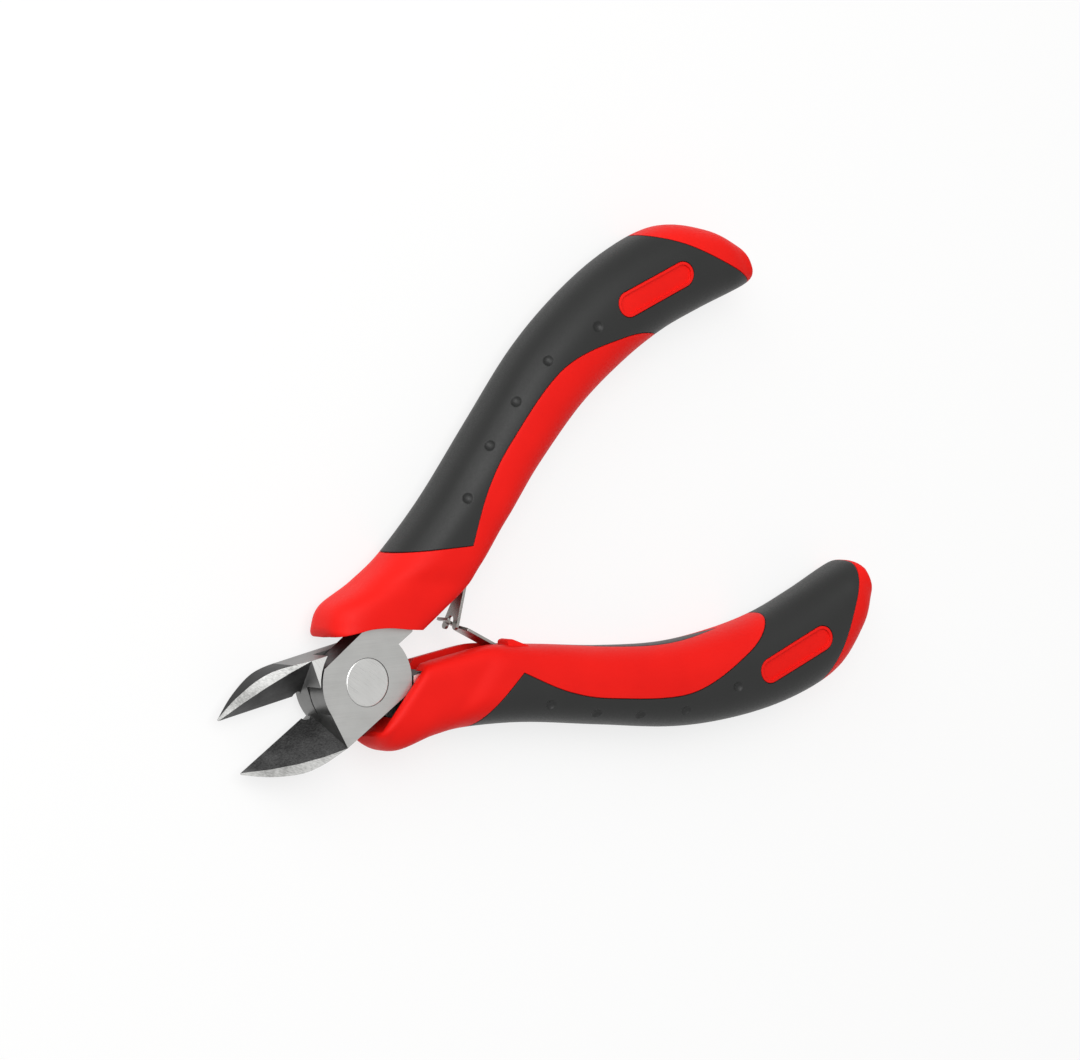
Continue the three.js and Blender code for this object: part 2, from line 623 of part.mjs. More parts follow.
// The finished tool rests on the plane z = 0 with the middle of its outline over the origin
function sideCutters() {
  const frontLever = piece('front_lever', lever(1), MATERIALS.ground);
  const rearLever = piece('rear_lever', mirrored(lever(-1)), MATERIALS.ground);
  const pivot = piece('pivot_rivet', toGeometry(rivet(0)), MATERIALS.rivet);
  const fork = piece('upper_leaf_spring', leaf(forkBlank()), MATERIALS.spring);
  const tongue = piece('lower_leaf_spring', leaf(tongueBlank()), MATERIALS.spring);
  const tool = new THREE.Group();
  tool.add(half(1, 'upper', frontLever, fork, [pivot]), half(-1, 'lower', rearLever, tongue, []));
  tool.updateMatrixWorld(true);
  const box = new THREE.Box3().setFromObject(tool, true);
  const middle = box.getCenter(new THREE.Vector3());
  tool.position.set(-middle.x, -middle.y, -box.min.z);
  return tool;
}

export default sideCutters();
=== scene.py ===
"""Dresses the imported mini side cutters: moulded grips, ground levers, return spring and studio.

Sizes are in millimetres and are drawn as in the closed tool: the pivot is at the origin, +X runs to
the handle ends and +Z is the pivot axis. A half is drawn with its handle on the +Y side, then put
in its place in the frame. For the lower handle the lever is mirrored and the grip is turned over.
"""

from __future__ import annotations

import json
import logging
import math
from collections.abc import Iterable, Sequence
from dataclasses import dataclass
from enum import Enum

import bmesh
import bpy
from bpy.types import Material, Node, NodeSocket, NodeTree, Object
from mathutils import Euler, Matrix, Vector
from mathutils.bvhtree import BVHTree
from mathutils.geometry import interpolate_bezier

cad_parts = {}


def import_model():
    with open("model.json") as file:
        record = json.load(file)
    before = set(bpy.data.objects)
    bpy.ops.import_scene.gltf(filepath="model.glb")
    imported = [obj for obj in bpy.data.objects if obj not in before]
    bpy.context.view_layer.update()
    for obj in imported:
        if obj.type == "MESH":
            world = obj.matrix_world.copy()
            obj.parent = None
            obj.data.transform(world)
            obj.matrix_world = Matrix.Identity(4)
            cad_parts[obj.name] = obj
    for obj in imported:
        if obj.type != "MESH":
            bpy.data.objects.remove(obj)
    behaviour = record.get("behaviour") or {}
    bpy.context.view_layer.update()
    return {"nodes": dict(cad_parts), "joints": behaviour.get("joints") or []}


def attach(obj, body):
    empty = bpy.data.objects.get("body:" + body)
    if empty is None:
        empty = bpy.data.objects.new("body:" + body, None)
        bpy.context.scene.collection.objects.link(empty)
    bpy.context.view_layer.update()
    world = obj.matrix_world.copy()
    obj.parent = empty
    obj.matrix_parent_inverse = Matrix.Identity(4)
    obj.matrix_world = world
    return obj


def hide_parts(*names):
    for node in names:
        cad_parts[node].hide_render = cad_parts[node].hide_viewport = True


LOG = logging.getLogger("side_cutters")
# A millimetre in metres
MM = 0.001
# Longer than any piece: how far a cutter reaches that passes right through, in millimetres
PAST = 60.0
# Vertices nearer than this are one, in millimetres
WELD = 0.001
# Faces of a solid that turn less than this are one flat
FLAT_DEG = 0.5
# Edges of ground steel that turn more than this are broken
STEEL_SHARP_DEG = 24.0
# Straight pieces of a full circle
ROUND_STEPS = 72
WHITE = (1.0, 1.0, 1.0, 1.0)
Point = tuple[float, float]
Place = tuple[float, float, float]


class Half(Enum):
    """A half of the tool, by the side of its handle."""

    UPPER = 1
    LOWER = -1


class Carving(Enum):
    """What a tool does to a body."""

    CUT = "DIFFERENCE"
    JOIN = "UNION"
    MEET = "INTERSECT"


class LeverFace(Enum):
    """The finishes that the faces of a lever have."""

    PLATE = "plate"
    PATCH = "patch"
    CRESCENT = "crescent"
    # Black oxide of the cutting bevels, and painted shade on the heel's wall and the joint's flat
    BEVEL = "bevel"
    BACK = "back"
    RIM = "rim"
    FORGED = "forged"


def linear(code: str) -> tuple[float, float, float, float]:
    """Turns an sRGB hex colour into linear light.

    Args:
        code: The colour as six hex digits after a hash sign.

    Returns:
        Red, green, blue and a full alpha.
    """
    parts = [int(code[i : i + 2], 16) / 255 for i in (1, 3, 5)]
    red, green, blue = (p / 12.92 if p <= 0.04045 else ((p + 0.055) / 1.055) ** 2.4 for p in parts)
    return red, green, blue, 1.0


def add_node(
    tree: NodeTree, kind: str, sockets: dict[str | int, object] | None = None, **settings: object
) -> Node:
    """Adds a node with its settings, and fills or links its inputs.

    Args:
        tree: The node tree that gets the node.
        kind: The node's type.
        sockets: Values for the inputs, or the outputs that they are linked to, by name or index.
        settings: The node's own properties.

    Returns:
        The new node.
    """
    node = tree.nodes.new(kind)
    for name, value in settings.items():
        setattr(node, name, value)
    for name, value in (sockets or {}).items():
        if isinstance(value, NodeSocket):
            tree.links.new(value, node.inputs[name])
        else:
            node.inputs[name].default_value = value
    return node


def new_material(name: str) -> tuple[Material, NodeTree, Node]:
    """Makes an empty material.

    Args:
        name: The material's name.

    Returns:
        The material, its node tree and its surface shader.
    """
    material = bpy.data.materials.new(name)
    material.use_nodes = True
    tree = material.node_tree
    return material, tree, tree.nodes["Principled BSDF"]


@dataclass(frozen=True)
class MouldedPlastic:
    """Moulded plastic or elastomer with the fine grain of an eroded mould."""

    name: str
    colour: str
    shade: str
    roughness: float
    roughness_spread: float
    specular: float
    grain_mm: float
    grain_depth_mm: float
    cloud_mm: float
    edge_mm: float = 0.2
    spread: Point = (0.3, 0.7)

    def material(self) -> Material:
        """Makes the material, with clouded colour and a grained surface.

        Returns:
            The finish as a material.
        """
        material, tree, shader = new_material(self.name)
        place = add_node(tree, "ShaderNodeTexCoord").outputs["Object"]
        cloud = add_node(
            tree,
            "ShaderNodeTexNoise",
            {"Vector": place, "Scale": 1 / (self.cloud_mm * MM), "Detail": 3.0},
        )
        colours = add_node(tree, "ShaderNodeValToRGB", {"Fac": cloud.outputs["Fac"]})
        dark, light = colours.color_ramp.elements
        dark.position, light.position = self.spread
        dark.color, light.color = linear(self.shade), linear(self.colour)
        grain = add_node(
            tree,
            "ShaderNodeTexNoise",
            {"Vector": place, "Scale": 1 / (self.grain_mm * MM), "Detail": 2.0},
        )
        gloss = add_node(
            tree,
            "ShaderNodeMapRange",
            {
                "Value": grain.outputs["Fac"],
                "From Min": self.spread[0],
                "From Max": self.spread[1],
                "To Min": self.roughness - self.roughness_spread,
                "To Max": self.roughness + self.roughness_spread,
            },
        )
        edges = add_node(tree, "ShaderNodeBevel", {"Radius": self.edge_mm * MM}, samples=6)
        bump = add_node(
            tree,
            "ShaderNodeBump",
            {
                "Height": grain.outputs["Fac"],
                "Strength": 1.0,
                "Distance": self.grain_depth_mm * MM,
                "Normal": edges.outputs["Normal"],
            },
        )
        tree.links.new(colours.outputs["Color"], shader.inputs["Base Color"])
        tree.links.new(gloss.outputs["Result"], shader.inputs["Roughness"])
        tree.links.new(bump.outputs["Normal"], shader.inputs["Normal"])
        shader.inputs["Specular IOR Level"].default_value = self.specular
        return material


@dataclass(frozen=True)
class WorkedSteel:
    """Hardened steel with the marks of the wheel that ground it, or with a dark skin left on."""

    name: str
    colour: str
    shade: str
    roughness: float
    mark_mm: float
    mark_length_mm: float
    mark_depth_mm: float
    turn_deg: float
    edge: str = "#FFFFFF"
    cloud_mm: float = 3.5
    smoother: float = 0.06
    rougher: float = 0.08
    tone_spread: Point = (0.35, 0.65)
    mark_spread: Point = (0.3, 0.7)

    def material(self) -> Material:
        """Makes the material, with fine marks along one direction.

        Returns:
            The finish as a material.
        """
        material, tree, shader = new_material(self.name)
        place = add_node(tree, "ShaderNodeTexCoord").outputs["Object"]
        across, along = 1 / (self.mark_mm * MM), 1 / (self.mark_length_mm * MM)
        turned = add_node(
            tree,
            "ShaderNodeMapping",
            {"Vector": place, "Rotation": (0.0, 0.0, math.radians(self.turn_deg))},
        )
        stretched = add_node(
            tree,
            "ShaderNodeMapping",
            {"Vector": turned.outputs["Vector"], "Scale": (along, across, across)},
        )
        marks = add_node(
            tree,
            "ShaderNodeTexNoise",
            {"Vector": stretched.outputs["Vector"], "Scale": 1.0, "Detail": 4.0},
        )
        cloud = add_node(
            tree,
            "ShaderNodeTexNoise",
            {"Vector": place, "Scale": 1 / (self.cloud_mm * MM), "Detail": 4.0},
        )
        tone = add_node(
            tree,
            "ShaderNodeMix",
            {0: 0.5, 2: marks.outputs["Fac"], 3: cloud.outputs["Fac"]},
            data_type="FLOAT",
        )
        colours = add_node(tree, "ShaderNodeValToRGB", {"Fac": tone.outputs[0]})
        dark, light = colours.color_ramp.elements
        dark.position, light.position = self.tone_spread
        dark.color, light.color = linear(self.shade), linear(self.colour)
        gloss = add_node(
            tree,
            "ShaderNodeMapRange",
            {
                "Value": marks.outputs["Fac"],
                "From Min": self.mark_spread[0],
                "From Max": self.mark_spread[1],
                "To Min": self.roughness - self.smoother,
                "To Max": self.roughness + self.rougher,
            },
        )
        bump = add_node(
            tree,
            "ShaderNodeBump",
            {"Height": marks.outputs["Fac"], "Strength": 1.0, "Distance": self.mark_depth_mm * MM},
        )
        tree.links.new(colours.outputs["Color"], shader.inputs["Base Color"])
        tree.links.new(gloss.outputs["Result"], shader.inputs["Roughness"])
        tree.links.new(bump.outputs["Normal"], shader.inputs["Normal"])
        shader.inputs["Metallic"].default_value = 1.0
        shader.inputs["Specular Tint"].default_value = linear(self.edge)
        return material


# Hard polypropylene core: a clear saturated red with a soft satin sheen
HARD_RED = MouldedPlastic(
    "moulded_polypropylene_red", "#E9150C", "#E11109", roughness=0.54, roughness_spread=0.05,
    specular=0.18, grain_mm=0.3, grain_depth_mm=0.003, cloud_mm=9.0,
)
# Thermoplastic elastomer: charcoal black, matt and slightly uneven
SOFT_BLACK = MouldedPlastic(
    "moulded_elastomer_black", "#131413", "#0F100F", roughness=0.47, roughness_spread=0.06,
    specular=0.37, grain_mm=0.25, grain_depth_mm=0.004, cloud_mm=6.0,
)
# Surface-ground steel of the joint plates: even satin grey with fine straight marks
PLATE_STEEL = WorkedSteel(
    "surface_ground_steel", "#B0B0AE", "#A6A6A4", roughness=0.36,
    mark_mm=0.09, mark_length_mm=7.0, mark_depth_mm=0.0012, turn_deg=22.0,
)
# Steel flats finished on a fine wheel: brighter than the plates and nearly even
PATCH_STEEL = WorkedSteel(
    "bright_ground_steel", "#D9D9D7", "#CFCFCD", roughness=0.3,
    mark_mm=0.07, mark_length_mm=5.0, mark_depth_mm=0.0008, turn_deg=75.0,
)
# Steel slopes ground to the tips on a coarse wheel: bright, and speckled by its grit, which is
# drawn at 0.16 mm so that it shows
CRESCENT_STEEL = WorkedSteel(
    "tip_ground_steel", "#D2D2D0", "#969694", roughness=0.4,
    mark_mm=0.16, mark_length_mm=0.9, mark_depth_mm=0.002, turn_deg=40.0,
)
# Black oxide skin left in the cutting bevels: near black, a little streaked
# The same dark steel is painted shade on the heel's wall in the throat and on the flat of the joint
OXIDE_AND_SHADE_STEEL = WorkedSteel(
    "oxide_and_painted_shade_steel", "#626262", "#363636", roughness=0.42,
    mark_mm=0.16, mark_length_mm=4.0, mark_depth_mm=0.0015, turn_deg=40.0,
)
# Milled steel of the jaws' backs: dark grey, and less bright at a low angle than bare steel
BACK_STEEL = WorkedSteel(
    "milled_back_steel", "#494949", "#393939", roughness=0.38,
    mark_mm=0.1, mark_length_mm=6.0, mark_depth_mm=0.0012, turn_deg=10.0, edge="#DCDCDC",
)
# Turned steel of the joint's rim: middle grey with a narrow sheen round the joint
RIM_STEEL = WorkedSteel(
    "turned_rim_steel", "#868685", "#727271", roughness=0.36,
    mark_mm=0.08, mark_length_mm=3.0, mark_depth_mm=0.001, turn_deg=0.0,
)
# Forged skin of the tangs: dull, dark and rough
FORGED_STEEL = WorkedSteel(
    "forged_skin_steel", "#474644", "#333231", roughness=0.5,
    mark_mm=0.2, mark_length_mm=2.0, mark_depth_mm=0.003, turn_deg=0.0,
)
# Soft steel rivet faced off with the plates: a shade lighter than they are
RIVET_STEEL = WorkedSteel(
    "faced_rivet_steel", "#C3C3C1", "#B9B9B7", roughness=0.32,
    mark_mm=0.07, mark_length_mm=2.5, mark_depth_mm=0.0008, turn_deg=60.0,
)
# Rolled and hardened spring strip: clean grey with a sharp sheen
SPRING_STEEL = WorkedSteel(
    "rolled_spring_steel", "#A09E9B", "#85837F", roughness=0.28,
    mark_mm=0.06, mark_length_mm=4.0, mark_depth_mm=0.0008, turn_deg=0.0,
)
LEVER_FINISHES = {
    LeverFace.PLATE: PLATE_STEEL,
    LeverFace.PATCH: PATCH_STEEL,
    LeverFace.CRESCENT: CRESCENT_STEEL,
    LeverFace.BEVEL: OXIDE_AND_SHADE_STEEL,
    LeverFace.BACK: BACK_STEEL,
    LeverFace.RIM: RIM_STEEL,
    LeverFace.FORGED: FORGED_STEEL,
}


def smooth_path(points: Sequence[Vector], steps: int) -> list[Vector]:
    """Draws a smooth path through points.

    Args:
        points: The points that the path passes.
        steps: Pieces of the path between two points.

    Returns:
        The points of the path, both ends included.
    """
    path: list[Vector] = [points[0]]
    last = len(points) - 1
    for i in range(last):
        before, after = points[max(i - 1, 0)], points[min(i + 2, last)]
        lead = points[i] + (points[i + 1] - before) / 6
        trail = points[i + 1] - (after - points[i]) / 6
        path += interpolate_bezier(points[i], lead, trail, points[i + 1], steps + 1)[1:]
    return path


def outline(points: Iterable[Point], steps: int = 1) -> list[Vector]:
    """Returns points in the plane of the tool, joined by a smooth path if steps is over 1."""
    flat = [Vector((x, y, 0.0)) for x, y in points]
    return smooth_path(flat, steps) if steps > 1 else flat


def arc(centre: Point, radius: float, start: float, end: float, steps: int) -> list[Vector]:
    """Draws an arc.

    Args:
        centre: The arc's centre.
        radius: Its radius.
        start: The angle at its start, in degrees.
        end: The angle at its end, in degrees.
        steps: The number of straight pieces.

    Returns:
        The points of the arc, both ends included.
    """
    x, y = centre
    turns = [math.radians(start + (end - start) * i / steps) for i in range(steps + 1)]
    return [Vector((x + radius * math.cos(t), y + radius * math.sin(t), 0.0)) for t in turns]


def capsule(ends: tuple[Point, Point], radius: float, steps: int = 20) -> list[Vector]:
    """Draws a slot with round ends.

    Args:
        ends: The centres of the two ends.
        radius: The radius of the ends.
        steps: Straight pieces of each end.

    Returns:
        The points of the outline.
    """
    (ax, ay), (bx, by) = ends
    turn = math.degrees(math.atan2(by - ay, bx - ax))
    far = arc(ends[1], radius, turn - 90, turn + 90, steps)
    return far + arc(ends[0], radius, turn + 90, turn + 270, steps)


def prism(points: Sequence[Vector], low: float, high: float) -> bmesh.types.BMesh:
    """Extrudes an outline along the pivot axis.

    Args:
        points: The outline in the plane of the tool.
        low: Height of the lower end.
        high: Height of the upper end.

    Returns:
        The closed prism.
    """
    bm = bmesh.new()
    face = bm.faces.new([bm.verts.new((p.x, p.y, low)) for p in points])
    grown = bmesh.ops.extrude_face_region(bm, geom=[face], use_keep_orig=True)
    tops = [g for g in grown["geom"] if isinstance(g, bmesh.types.BMVert)]
    bmesh.ops.translate(bm, vec=(0.0, 0.0, high - low), verts=tops)
    bmesh.ops.recalc_face_normals(bm, faces=bm.faces)
    return bm


def disc(radius: float, low: float, high: float, centre: Point = (0.0, 0.0)) -> bmesh.types.BMesh:
    """Returns a round bar along the pivot axis."""
    return prism(arc(centre, radius, 0, 360 - 360 / ROUND_STEPS, ROUND_STEPS - 1), low, high)


def solid(name: str, bm: bmesh.types.BMesh) -> Object:
    """Makes an object of a mesh under construction, which is freed.

    Args:
        name: The object's name.
        bm: The mesh under construction.

    Returns:
        The object, linked to the scene.
    """
    mesh = bpy.data.meshes.new(name)
    bm.to_mesh(mesh)
    bm.free()
    made = bpy.data.objects.new(name, mesh)
    bpy.context.scene.collection.objects.link(made)
    return made


def welded(source: Object) -> bmesh.types.BMesh:
    """Copies a solid of the frame with its triangles joined to whole faces.

    Args:
        source: The solid's node.

    Returns:
        The mesh under construction.
    """
    bm = bmesh.new()
    bm.from_mesh(source.data)
    bmesh.ops.remove_doubles(bm, verts=bm.verts, dist=WELD * MM)
    bmesh.ops.dissolve_limit(
        bm, angle_limit=math.radians(FLAT_DEG), verts=bm.verts, edges=bm.edges
    )
    return bm


def discard(*objects: Object) -> None:
    """Removes objects that were only needed as tools, with their meshes.

    Args:
        objects: The objects.
    """
    for thing in objects:
        mesh = thing.data
        bpy.data.objects.remove(thing)
        bpy.data.meshes.remove(mesh)


def through(name: str, points: Sequence[Vector]) -> Object:
    """Returns a cutter with an outline that passes right through the tool."""
    return solid(name, prism(points, -PAST, PAST))


def carve(body: Object, tool: Object, carving: Carving = Carving.CUT) -> None:
    """Changes a body with a tool, which is used up.

    Args:
        body: The object that is changed.
        tool: The object that cuts, joins or meets it.
        carving: What the tool does.
    """
    modifier = body.modifiers.new("carve", "BOOLEAN")
    modifier.object = tool
    modifier.operation = carving.value
    modifier.solver = "EXACT"
    graph = bpy.context.evaluated_depsgraph_get()
    result = bpy.data.meshes.new_from_object(body.evaluated_get(graph))
    body.modifiers.remove(modifier)
    old = body.data
    body.data = result
    result.name = body.name
    bpy.data.meshes.remove(old)
    discard(tool)


def finish_mesh(thing: Object, materials: Sequence[Material], sharp_deg: float) -> None:
    """Gives a mesh its materials and smooth shading.

    Args:
        thing: The finished object.
        materials: Its materials, in the order of its slots.
        sharp_deg: Edges that turn more than this stay sharp.
    """
    for material in materials:
        thing.data.materials.append(material)
    thing.data.shade_smooth()
    thing.data.set_sharp_from_angle(angle=math.radians(sharp_deg))


@dataclass(frozen=True)
class Placement:
    """Where the halves lie in the frame: the pivot and the opening of the tool at rest."""

    pivot: Vector
    half_opening: float

    @classmethod
    def from_frame(cls, joints: Sequence[dict]) -> Placement:
        """Reads the placement from the joint between the halves.

        Args:
            joints: The frame's joints.

        Returns:
            The placement.
        """
        joint = next(j for j in joints if j["name"] == "handle_pivot")
        return cls(Vector(joint["pos_m"]), math.radians(joint["range_deg"][1]) / 2)

    def matrix(self, half: Half, turned_over: bool) -> Matrix:
        """Works out the way from the closed drawing, in millimetres, to the frame, in metres.

        Args:
            half: The half that a piece belongs to.
            turned_over: Whether the piece is turned over for the lower half, and not mirrored.

        Returns:
            The matrix from the drawing to the frame.
        """
        side = float(half.value)
        flip = Matrix.Diagonal((1.0, side, side if turned_over else 1.0, 1.0))
        turn = Matrix.Rotation(side * self.half_opening, 4, "Z")
        return Matrix.Translation(self.pivot) @ turn @ Matrix.Scale(MM, 4) @ flip

    def settle(self, thing: Object, half: Half) -> None:
        """Welds an object drawn in millimetres and puts it in its place, in its mesh.

        Args:
            thing: The object.
            half: The half that it belongs to.
        """
        bm = bmesh.new()
        bm.from_mesh(thing.data)
        bmesh.ops.remove_doubles(bm, verts=bm.verts, dist=WELD)
        bmesh.ops.transform(bm, matrix=self.matrix(half, turned_over=True), verts=bm.verts)
        bm.to_mesh(thing.data)
        bm.free()


@dataclass(frozen=True)
class Station:
    """A section of the grip: two edges, half thickness and the powers of the oval's two sides."""

    outer: Point
    inner: Point
    half: float
    power: float
    inner_power: float


@dataclass(frozen=True)
class Section:
    """A section worked out between the stations, round its own centre."""

    centre: Vector
    across: Vector
    half: float
    power: float
    inner_power: float

    def point(self, unit: Vector) -> Vector:
        """Finds the point of the section's oval that belongs to a point of the unit circle.

        Args:
            unit: The point of the unit circle.

        Returns:
            The point of the oval.
        """
        power = self.power if unit.x > 0 else self.inner_power
        reach, height = (math.copysign(abs(v) ** (2 / power), v) for v in (unit.x, unit.y))
        return self.centre + self.across * reach + Vector((0.0, 0.0, self.half * height))


@dataclass(frozen=True)
class Grip:
    """A moulded grip: hard core, soft cover on its back and soft inlay along its inner side."""

    collar_half: float = 5.6
    grip_half: float = 6.1
    collar_power: float = 3.2
    mouth_power: float = 5.0
    collar_inner_power: float = 5.5
    grip_power: float = 2.5
    throat_powers: tuple[float, float] = (4.0, 3.0)
    mouth_lip: float = 0.9
    mouth_edge: tuple[Point, ...] = (
        (-0.6, 8.5), (2.5, 7.1), (4.5, 6.2), (7.0, 4.5), (9.6, 2.2), (12.1, 0.1), (13.0, -0.7),
    )
    tail_radius: float = 1.2
    tail_lead_deg: float = 45.0
    tail_taper: tuple[float, float, float] = (0.97, 0.85, 0.62)
    cover_thickness: float = 1.2
    parting_gap: float = 0.12
    cover_corner: Point = (6.0, 17.3)
    cover_wave: tuple[Point, ...] = (
        (25.0, 5.6), (31.9, 10.5), (39.7, 13.8), (53.1, 16.9), (64.4, 14.2), (70.7, 10.5),
        (75.0, 5.0),
    )
    cover_end: tuple[Point, ...] = (
        (90.4, 2.0), (88.7, 8.0), (83.0, 17.6), (78.2, 23.4), (74.0, 28.0),
    )
    pill_ends: tuple[Point, Point] = ((68.2, 17.7), (78.7, 15.6))
    pill_radius: float = 1.9
    pill_rim: float = 0.45
    pill_recess: float = 0.3
    dimples: tuple[Point, ...] = (
        (61.6, 18.4), (51.9, 19.3), (44.0, 17.7), (36.5, 15.3), (28.6, 11.6),
    )
    dimple_radius: float = 0.88
    dimple_depth: float = 0.38
    inlay_start: float = 34.0
    inlay_end: float = 64.0
    inlay_width: float = 4.4
    inlay_thickness: float = 1.0
    inlay_reach: float = 12.0
    mouth_radius: float = 7.7
    mouth_half: float = 4.1
    mouth_depth: float = 12.8
    tang_half: float = 3.45
    tang_gap: float = 0.25
    tang_end: tuple[float, float, float] = (49.2, 15.2, 1.8)
    leaf_root: Point = (26.6, 3.72)
    channel_half: float = 2.3
    channel_top: float = 2.2
    channel_floor: float = 0.53
    eye_radius: float = 1.45
    leaf_open_deg: float = 220.6
    leaf_closed_deg: float = 199.4
    bump_height: float = 0.8
    bump_setback: float = 1.2
    bump_sides: tuple[float, float] = (-3.4, -0.5)
    bump_length: float = 4.6
    bump_crest: float = 0.8
    bump_edge: float = 0.35
    sharp_deg: float = 32.0
    ring_points: int = 72
    steps: int = 9
    tail_steps: int = 4
    parting_steps: int = 12
    mouth_steps: int = 8
    tang_steps: int = 6
    tang_end_steps: int = 12
    inlay_steps: int = 24

    @property
    def tang_outer(self) -> list[Point]:
        """The outer edge of the room for the tang."""
        edge = ((3.97, 6.36), (6.5, 8.6), (12.0, 9.2), (20.0, 10.2), (28.0, 11.4), (40.0, 14.6))
        return [(x, y + self.tang_gap) for x, y in edge]

    @property
    def tang_inner(self) -> list[Point]:
        """The inner edge of the room for the tang."""
        edge = ((10.3, 1.2), (12.8, 2.9), (24.0, 5.9), (28.0, 6.6), (40.0, 10.0))
        return [(x, y - self.tang_gap) for x, y in edge]

    def stations(self) -> list[Station]:
        """Lists the sections that the grip is drawn by.

        Returns:
            The stations from the mouth to the tail.
        """
        inner_power = self.collar_inner_power
        mouth = (self.collar_half - self.mouth_lip, self.mouth_power, inner_power)
        collar = (self.collar_half, self.collar_power, inner_power)
        throat = [(self.grip_half, self.grip_power, power) for power in self.throat_powers]
        oval = (self.grip_power, self.grip_power)
        grip = (self.grip_half, *oval)
        tail = [(self.grip_half * share, *oval) for share in self.tail_taper]
        dome = self.tail_radius * (1 - math.sin(math.radians(self.tail_lead_deg)))
        return [
            Station((-0.2, 8.2), (10.2, 0.15), *mouth),
            Station((0.35, 9.9), (12.2, 0.15), *collar),
            Station((3.1, 11.4), (16.5, 0.3), *collar),
            Station((9.2, 11.0), (21.5, 0.6), *collar),
            Station((15.5, 11.5), (25.5, 1.6), *throat[0]),
            Station((26.0, 13.8), (33.0, 3.8), *throat[1]),
            Station((39.0, 18.0), (43.0, 6.8), *grip),
            Station((52.0, 22.1), (54.0, 9.3), *grip),
            Station((63.5, 23.9), (64.0, 10.0), *grip),
            Station((74.0, 23.9), (72.5, 9.6), *grip),
            Station((82.6, 22.0), (80.0, 8.2), *grip),
            Station((88.2, 17.4), (86.0, 6.8), *tail[0]),
            Station((90.9, 13.0), (89.3, 6.2), *tail[1]),
            Station((91.8 - dome, 10.0), (91.0 - dome, 7.0), *tail[2]),
        ]

    def sections(self, inset: float) -> list[Section]:
        """Works out the sections of the skin.

        Args:
            inset: How far the skin lies inside the grip's surface.

        Returns:
            The sections from the mouth to the tail.
        """
        stations = self.stations()
        outer = outline((s.outer for s in stations), self.steps)
        inner = outline((s.inner for s in stations), self.steps)
        made = []
        for i, (outside, inside) in enumerate(zip(outer, inner)):
            before, share = stations[i // self.steps], (i % self.steps) / self.steps
            after = stations[min(i // self.steps + 1, len(stations) - 1)]
            smooth = share * share * (3 - 2 * share)
            # The lip of the mouth rises as a quarter circle, and the rest passes smoothly
            rise = math.sqrt(1 - (1 - share) ** 2) if i < self.steps else smooth
            across = (outside - inside) / 2
            across = across.normalized() * (across.length - inset)
            half = before.half + (after.half - before.half) * rise - inset
            power = before.power + (after.power - before.power) * smooth
            inner_power = before.inner_power + (after.inner_power - before.inner_power) * smooth
            made.append(Section((outside + inside) / 2, across, half, power, inner_power))
        return made

    def skin(self, inset: float = 0.0) -> bmesh.types.BMesh:
        """Lofts the closed skin of the grip.

        Args:
            inset: How far the skin lies inside the grip's surface.

        Returns:
            The skin.
        """
        bm = bmesh.new()
        rings: list[list[bmesh.types.BMEdge]] = []
        for section in self.sections(inset):
            verts = bmesh.ops.create_circle(
                bm, cap_ends=False, radius=1.0, segments=self.ring_points
            )["verts"]
            for vert in verts:
                vert.co = section.point(vert.co)
            # Each edge once, in an order that is the same in every run
            rings.append(list(dict.fromkeys(e for vert in verts for e in vert.link_edges)))
        for ring, following in zip(rings, rings[1:]):
            bmesh.ops.bridge_loops(bm, edges=ring + following)
        bmesh.ops.contextual_create(bm, geom=rings[0])
        tail = bmesh.ops.contextual_create(bm, geom=rings[-1])["faces"]
        if inset == 0:
            self.round_end(bm, tail)
        bmesh.ops.recalc_face_normals(bm, faces=bm.faces)
        return bm

    def round_end(self, bm: bmesh.types.BMesh, cap: list[bmesh.types.BMFace]) -> None:
        """Rounds the tail with insets that rise from its last section.

        Args:
            bm: The skin.
            cap: The tail's end face.
        """
        bmesh.ops.recalc_face_normals(bm, faces=bm.faces)
        lead, steps = math.radians(self.tail_lead_deg), self.tail_steps
        turns = [lead + (math.pi / 2 - lead) * i / steps for i in range(steps + 1)]
        for turn, following in zip(turns, turns[1:]):
            thickness = self.tail_radius * (math.cos(turn) - math.cos(following))
            depth = self.tail_radius * (math.sin(following) - math.sin(turn))
            bmesh.ops.inset_individual(
                bm, faces=cap, thickness=thickness, depth=depth, use_even_offset=True
            )

    def cover_region(self, gap: float) -> list[Vector]:
        """Draws the outline of the soft cover, seen along the pivot axis.

        Args:
            gap: How far the outline is drawn in.

        Returns:
            The points of the outline.
        """
        corner_x, corner_y = self.cover_corner
        wave = outline(((x, y + gap) for x, y in self.cover_wave), self.parting_steps)
        end = outline(((x - gap, y) for x, y in self.cover_end), self.parting_steps)
        return [Vector((corner_x + gap, corner_y + gap, 0.0)), *wave, *end]

    def pockets(self) -> list[bmesh.types.BMesh]:
        """Makes the cutters for what is hollow in the core.

        Returns:
            The cutters for the room for the tang, the mouth and the leaf's channel.
        """
        end_x, end_y, end_radius = self.tang_end
        edge = outline(self.tang_outer, self.tang_steps)
        edge += arc((end_x, end_y), end_radius + self.tang_gap, 90, -90, self.tang_end_steps)
        edge += outline(reversed(self.tang_inner), self.tang_steps)
        tang = [Vector((0.0, edge[-1].y, 0.0)), Vector((0.0, edge[0].y, 0.0)), *edge]
        mouth = [p for p in tang if p.x < self.mouth_depth]
        return [
            prism(tang, -self.tang_half, self.tang_half),
            prism(mouth, -self.mouth_half, self.mouth_half),
            disc(self.mouth_radius, -self.mouth_half, self.mouth_half),
            prism(self.setback(), 0.0, PAST),
            prism(self.channel(), -self.channel_half, self.channel_half),
            disc(self.eye_radius, -self.channel_half, self.channel_half, self.leaf_root),
        ]

